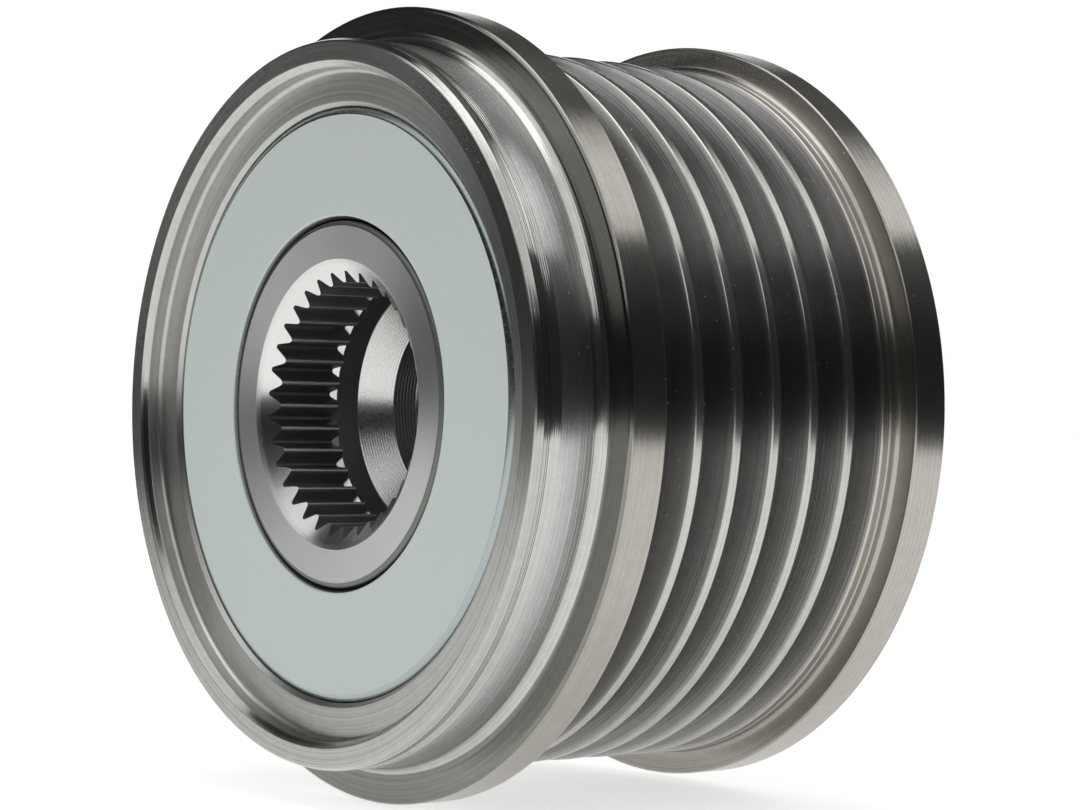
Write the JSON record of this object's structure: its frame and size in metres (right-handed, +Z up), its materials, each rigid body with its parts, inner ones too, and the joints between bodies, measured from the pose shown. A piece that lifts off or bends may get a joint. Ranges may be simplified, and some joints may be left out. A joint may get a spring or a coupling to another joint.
{
  "type": "alternator freewheel clutch",
  "caption": "Poly-V belt pulley on needle bearings with a built-in roller freewheel: it drives its splined, threaded hub one way and overruns the other way.",
  "frame": {"origin": "on the axis, at the rear end of the shaft pilot bore, where the hub sits on the shaft", "axes": "the axis lies along Y; -Y points to the nose and the tool spline, +Y to the alternator; +Z up"},
  "size_m": [0.0588, 0.0378, 0.0588],
  "materials": {
    "turned_steel": "turned, oiled",
    "hub_steel": "turned satin",
    "bearing_steel": "ground",
    "zinc_plate": "zinc plated",
    "spring_steel": "rolled strip",
    "seal_rubber": "moulded",
    "cage_plastic": "moulded"
  },
  "bodies": {
    "hub": {"shaft_hub": "hub_steel", "clutch_inner_ring": "bearing_steel", "clutch_cage": "cage_plastic", "clutch_spring_1": "spring_steel", "clutch_spring_2": "spring_steel", "clutch_spring_3": "spring_steel", "clutch_spring_4": "spring_steel", "clutch_spring_5": "spring_steel", "clutch_spring_6": "spring_steel", "clutch_spring_7": "spring_steel", "clutch_spring_8": "spring_steel", "clutch_spring_9": "spring_steel", "clutch_spring_10": "spring_steel"},
    "pulley": {"pulley_rim": "turned_steel", "outer_race_sleeve": "bearing_steel", "front_cover": "zinc_plate", "front_seal": "seal_rubber", "front_thrust_ring": "cage_plastic", "rear_thrust_ring": "cage_plastic", "rear_seal_case": "zinc_plate", "rear_seal_lip": "seal_rubber"},
    "front_bearing": {"front_needle_cage": "cage_plastic"},
    "rear_bearing": {"rear_needle_cage": "cage_plastic"},
    "front_needle_1": {"front_needle_1": "bearing_steel"},
    "front_needle_2": {"front_needle_2": "bearing_steel"},
    "front_needle_3": {"front_needle_3": "bearing_steel"},
    "front_needle_4": {"front_needle_4": "bearing_steel"},
    "front_needle_5": {"front_needle_5": "bearing_steel"},
    "front_needle_6": {"front_needle_6": "bearing_steel"},
    "front_needle_7": {"front_needle_7": "bearing_steel"},
    "front_needle_8": {"front_needle_8": "bearing_steel"},
    "front_needle_9": {"front_needle_9": "bearing_steel"},
    "front_needle_10": {"front_needle_10": "bearing_steel"},
    "front_needle_11": {"front_needle_11": "bearing_steel"},
    "front_needle_12": {"front_needle_12": "bearing_steel"},
    "rear_needle_1": {"rear_needle_1": "bearing_steel"},
    "rear_needle_2": {"rear_needle_2": "bearing_steel"},
    "rear_needle_3": {"rear_needle_3": "bearing_steel"},
    "rear_needle_4": {"rear_needle_4": "bearing_steel"},
    "rear_needle_5": {"rear_needle_5": "bearing_steel"},
    "rear_needle_6": {"rear_needle_6": "bearing_steel"},
    "rear_needle_7": {"rear_needle_7": "bearing_steel"},
    "rear_needle_8": {"rear_needle_8": "bearing_steel"},
    "rear_needle_9": {"rear_needle_9": "bearing_steel"},
    "rear_needle_10": {"rear_needle_10": "bearing_steel"},
    "rear_needle_11": {"rear_needle_11": "bearing_steel"},
    "rear_needle_12": {"rear_needle_12": "bearing_steel"},
    "clutch_roller_1": {"clutch_roller_1": "bearing_steel"},
    "clutch_roller_2": {"clutch_roller_2": "bearing_steel"},
    "clutch_roller_3": {"clutch_roller_3": "bearing_steel"},
    "clutch_roller_4": {"clutch_roller_4": "bearing_steel"},
    "clutch_roller_5": {"clutch_roller_5": "bearing_steel"},
    "clutch_roller_6": {"clutch_roller_6": "bearing_steel"},
    "clutch_roller_7": {"clutch_roller_7": "bearing_steel"},
    "clutch_roller_8": {"clutch_roller_8": "bearing_steel"},
    "clutch_roller_9": {"clutch_roller_9": "bearing_steel"},
    "clutch_roller_10": {"clutch_roller_10": "bearing_steel"}
  },
  "joints": [
    {"name": "pulley_spin", "type": "hinge", "parent": "hub", "child": "pulley", "pos_m": [0, 0, 0], "axis": [0, 1, 0], "continuous": true},
    {"name": "front_bearing_orbit", "type": "hinge", "parent": "hub", "child": "front_bearing", "pos_m": [0, 0, 0], "axis": [0, 1, 0], "continuous": true},
    {"name": "front_needle_1_roll", "type": "hinge", "parent": "front_bearing", "child": "front_needle_1", "pos_m": [0.01792, -0.0278, 0], "axis": [0, 1, 0], "continuous": true},
    {"name": "front_needle_2_roll", "type": "hinge", "parent": "front_bearing", "child": "front_needle_2", "pos_m": [0.01552, -0.0278, 0.00896], "axis": [0, 1, 0], "continuous": true},
    {"name": "front_needle_3_roll", "type": "hinge", "parent": "front_bearing", "child": "front_needle_3", "pos_m": [0.00896, -0.0278, 0.01552], "axis": [0, 1, 0], "continuous": true},
    {"name": "front_needle_4_roll", "type": "hinge", "parent": "front_bearing", "child": "front_needle_4", "pos_m": [0, -0.0278, 0.01792], "axis": [0, 1, 0], "continuous": true},
    {"name": "front_needle_5_roll", "type": "hinge", "parent": "front_bearing", "child": "front_needle_5", "pos_m": [-0.00896, -0.0278, 0.01552], "axis": [0, 1, 0], "continuous": true},
    {"name": "front_needle_6_roll", "type": "hinge", "parent": "front_bearing", "child": "front_needle_6", "pos_m": [-0.01552, -0.0278, 0.00896], "axis": [0, 1, 0], "continuous": true},
    {"name": "front_needle_7_roll", "type": "hinge", "parent": "front_bearing", "child": "front_needle_7", "pos_m": [-0.01792, -0.0278, 0], "axis": [0, 1, 0], "continuous": true},
    {"name": "front_needle_8_roll", "type": "hinge", "parent": "front_bearing", "child": "front_needle_8", "pos_m": [-0.01552, -0.0278, -0.00896], "axis": [0, 1, 0], "continuous": true},
    {"name": "front_needle_9_roll", "type": "hinge", "parent": "front_bearing", "child": "front_needle_9", "pos_m": [-0.00896, -0.0278, -0.01552], "axis": [0, 1, 0], "continuous": true},
    {"name": "front_needle_10_roll", "type": "hinge", "parent": "front_bearing", "child": "front_needle_10", "pos_m": [0, -0.0278, -0.01792], "axis": [0, 1, 0], "continuous": true},
    {"name": "front_needle_11_roll", "type": "hinge", "parent": "front_bearing", "child": "front_needle_11", "pos_m": [0.00896, -0.0278, -0.01552], "axis": [0, 1, 0], "continuous": true},
    {"name": "front_needle_12_roll", "type": "hinge", "parent": "front_bearing", "child": "front_needle_12", "pos_m": [0.01552, -0.0278, -0.00896], "axis": [0, 1, 0], "continuous": true},
    {"name": "rear_bearing_orbit", "type": "hinge", "parent": "hub", "child": "rear_bearing", "pos_m": [0, 0, 0], "axis": [0, 1, 0], "continuous": true},
    {"name": "rear_needle_1_roll", "type": "hinge", "parent": "rear_bearing", "child": "rear_needle_1", "pos_m": [0.01792, -0.0103, 0], "axis": [0, 1, 0], "continuous": true},
    {"name": "rear_needle_2_roll", "type": "hinge", "parent": "rear_bearing", "child": "rear_needle_2", "pos_m": [0.01552, -0.0103, 0.00896], "axis": [0, 1, 0], "continuous": true},
    {"name": "rear_needle_3_roll", "type": "hinge", "parent": "rear_bearing", "child": "rear_needle_3", "pos_m": [0.00896, -0.0103, 0.01552], "axis": [0, 1, 0], "continuous": true},
    {"name": "rear_needle_4_roll", "type": "hinge", "parent": "rear_bearing", "child": "rear_needle_4", "pos_m": [0, -0.0103, 0.01792], "axis": [0, 1, 0], "continuous": true},
    {"name": "rear_needle_5_roll", "type": "hinge", "parent": "rear_bearing", "child": "rear_needle_5", "pos_m": [-0.00896, -0.0103, 0.01552], "axis": [0, 1, 0], "continuous": true},
    {"name": "rear_needle_6_roll", "type": "hinge", "parent": "rear_bearing", "child": "rear_needle_6", "pos_m": [-0.01552, -0.0103, 0.00896], "axis": [0, 1, 0], "continuous": true},
    {"name": "rear_needle_7_roll", "type": "hinge", "parent": "rear_bearing", "child": "rear_needle_7", "pos_m": [-0.01792, -0.0103, 0], "axis": [0, 1, 0], "continuous": true},
    {"name": "rear_needle_8_roll", "type": "hinge", "parent": "rear_bearing", "child": "rear_needle_8", "pos_m": [-0.01552, -0.0103, -0.00896], "axis": [0, 1, 0], "continuous": true},
    {"name": "rear_needle_9_roll", "type": "hinge", "parent": "rear_bearing", "child": "rear_needle_9", "pos_m": [-0.00896, -0.0103, -0.01552], "axis": [0, 1, 0], "continuous": true},
    {"name": "rear_needle_10_roll", "type": "hinge", "parent": "rear_bearing", "child": "rear_needle_10", "pos_m": [0, -0.0103, -0.01792], "axis": [0, 1, 0], "continuous": true},
    {"name": "rear_needle_11_roll", "type": "hinge", "parent": "rear_bearing", "child": "rear_needle_11", "pos_m": [0.00896, -0.0103, -0.01552], "axis": [0, 1, 0], "continuous": true},
    {"name": "rear_needle_12_roll", "type": "hinge", "parent": "rear_bearing", "child": "rear_needle_12", "pos_m": [0.01552, -0.0103, -0.00896], "axis": [0, 1, 0], "continuous": true},
    {"name": "clutch_roller_1_slide", "type": "slide", "parent": "hub", "child": "clutch_roller_1", "axis": [0, 0, -1], "range_m": [-0.0014, 0], "stiffness_N_per_m": 300, "springref_m": 0.001, "deforming": ["clutch_spring_1"]},
    {"name": "clutch_roller_2_slide", "type": "slide", "parent": "hub", "child": "clutch_roller_2", "axis": [0.5878, 0, -0.809], "range_m": [-0.0014, 0], "stiffness_N_per_m": 300, "springref_m": 0.001, "deforming": ["clutch_spring_2"]},
    {"name": "clutch_roller_3_slide", "type": "slide", "parent": "hub", "child": "clutch_roller_3", "axis": [0.9511, 0, -0.309], "range_m": [-0.0014, 0], "stiffness_N_per_m": 300, "springref_m": 0.001, "deforming": ["clutch_spring_3"]},
    {"name": "clutch_roller_4_slide", "type": "slide", "parent": "hub", "child": "clutch_roller_4", "axis": [0.9511, 0, 0.309], "range_m": [-0.0014, 0], "stiffness_N_per_m": 300, "springref_m": 0.001, "deforming": ["clutch_spring_4"]},
    {"name": "clutch_roller_5_slide", "type": "slide", "parent": "hub", "child": "clutch_roller_5", "axis": [0.5878, 0, 0.809], "range_m": [-0.0014, 0], "stiffness_N_per_m": 300, "springref_m": 0.001, "deforming": ["clutch_spring_5"]},
    {"name": "clutch_roller_6_slide", "type": "slide", "parent": "hub", "child": "clutch_roller_6", "axis": [0, 0, 1], "range_m": [-0.0014, 0], "stiffness_N_per_m": 300, "springref_m": 0.001, "deforming": ["clutch_spring_6"]},
    {"name": "clutch_roller_7_slide", "type": "slide", "parent": "hub", "child": "clutch_roller_7", "axis": [-0.5878, 0, 0.809], "range_m": [-0.0014, 0], "stiffness_N_per_m": 300, "springref_m": 0.001, "deforming": ["clutch_spring_7"]},
    {"name": "clutch_roller_8_slide", "type": "slide", "parent": "hub", "child": "clutch_roller_8", "axis": [-0.9511, 0, 0.309], "range_m": [-0.0014, 0], "stiffness_N_per_m": 300, "springref_m": 0.001, "deforming": ["clutch_spring_8"]},
    {"name": "clutch_roller_9_slide", "type": "slide", "parent": "hub", "child": "clutch_roller_9", "axis": [-0.9511, 0, -0.309], "range_m": [-0.0014, 0], "stiffness_N_per_m": 300, "springref_m": 0.001, "deforming": ["clutch_spring_9"]},
    {"name": "clutch_roller_10_slide", "type": "slide", "parent": "hub", "child": "clutch_roller_10", "axis": [-0.5878, 0, -0.809], "range_m": [-0.0014, 0], "stiffness_N_per_m": 300, "springref_m": 0.001, "deforming": ["clutch_spring_10"]}
  ],
  "couplings": [
    {"joint": "front_bearing_orbit", "follows": "pulley_spin", "ratio": 0.54241},
    {"joint": "front_needle_1_roll", "follows": "pulley_spin", "ratio": 5.9304},
    {"joint": "front_needle_2_roll", "follows": "pulley_spin", "ratio": 5.9304},
    {"joint": "front_needle_3_roll", "follows": "pulley_spin", "ratio": 5.9304},
    {"joint": "front_needle_4_roll", "follows": "pulley_spin", "ratio": 5.9304},
    {"joint": "front_needle_5_roll", "follows": "pulley_spin", "ratio": 5.9304},
    {"joint": "front_needle_6_roll", "follows": "pulley_spin", "ratio": 5.9304},
    {"joint": "front_needle_7_roll", "follows": "pulley_spin", "ratio": 5.9304},
    {"joint": "front_needle_8_roll", "follows": "pulley_spin", "ratio": 5.9304},
    {"joint": "front_needle_9_roll", "follows": "pulley_spin", "ratio": 5.9304},
    {"joint": "front_needle_10_roll", "follows": "pulley_spin", "ratio": 5.9304},
    {"joint": "front_needle_11_roll", "follows": "pulley_spin", "ratio": 5.9304},
    {"joint": "front_needle_12_roll", "follows": "pulley_spin", "ratio": 5.9304},
    {"joint": "rear_bearing_orbit", "follows": "pulley_spin", "ratio": 0.54241},
    {"joint": "rear_needle_1_roll", "follows": "pulley_spin", "ratio": 5.9304},
    {"joint": "rear_needle_2_roll", "follows": "pulley_spin", "ratio": 5.9304},
    {"joint": "rear_needle_3_roll", "follows": "pulley_spin", "ratio": 5.9304},
    {"joint": "rear_needle_4_roll", "follows": "pulley_spin", "ratio": 5.9304},
    {"joint": "rear_needle_5_roll", "follows": "pulley_spin", "ratio": 5.9304},
    {"joint": "rear_needle_6_roll", "follows": "pulley_spin", "ratio": 5.9304},
    {"joint": "rear_needle_7_roll", "follows": "pulley_spin", "ratio": 5.9304},
    {"joint": "rear_needle_8_roll", "follows": "pulley_spin", "ratio": 5.9304},
    {"joint": "rear_needle_9_roll", "follows": "pulley_spin", "ratio": 5.9304},
    {"joint": "rear_needle_10_roll", "follows": "pulley_spin", "ratio": 5.9304},
    {"joint": "rear_needle_11_roll", "follows": "pulley_spin", "ratio": 5.9304},
    {"joint": "rear_needle_12_roll", "follows": "pulley_spin", "ratio": 5.9304},
    {"joint": "clutch_roller_2_slide", "follows": "clutch_roller_1_slide", "ratio": 1},
    {"joint": "clutch_roller_3_slide", "follows": "clutch_roller_1_slide", "ratio": 1},
    {"joint": "clutch_roller_4_slide", "follows": "clutch_roller_1_slide", "ratio": 1},
    {"joint": "clutch_roller_5_slide", "follows": "clutch_roller_1_slide", "ratio": 1},
    {"joint": "clutch_roller_6_slide", "follows": "clutch_roller_1_slide", "ratio": 1},
    {"joint": "clutch_roller_7_slide", "follows": "clutch_roller_1_slide", "ratio": 1},
    {"joint": "clutch_roller_8_slide", "follows": "clutch_roller_1_slide", "ratio": 1},
    {"joint": "clutch_roller_9_slide", "follows": "clutch_roller_1_slide", "ratio": 1},
    {"joint": "clutch_roller_10_slide", "follows": "clutch_roller_1_slide", "ratio": 1}
  ]
}
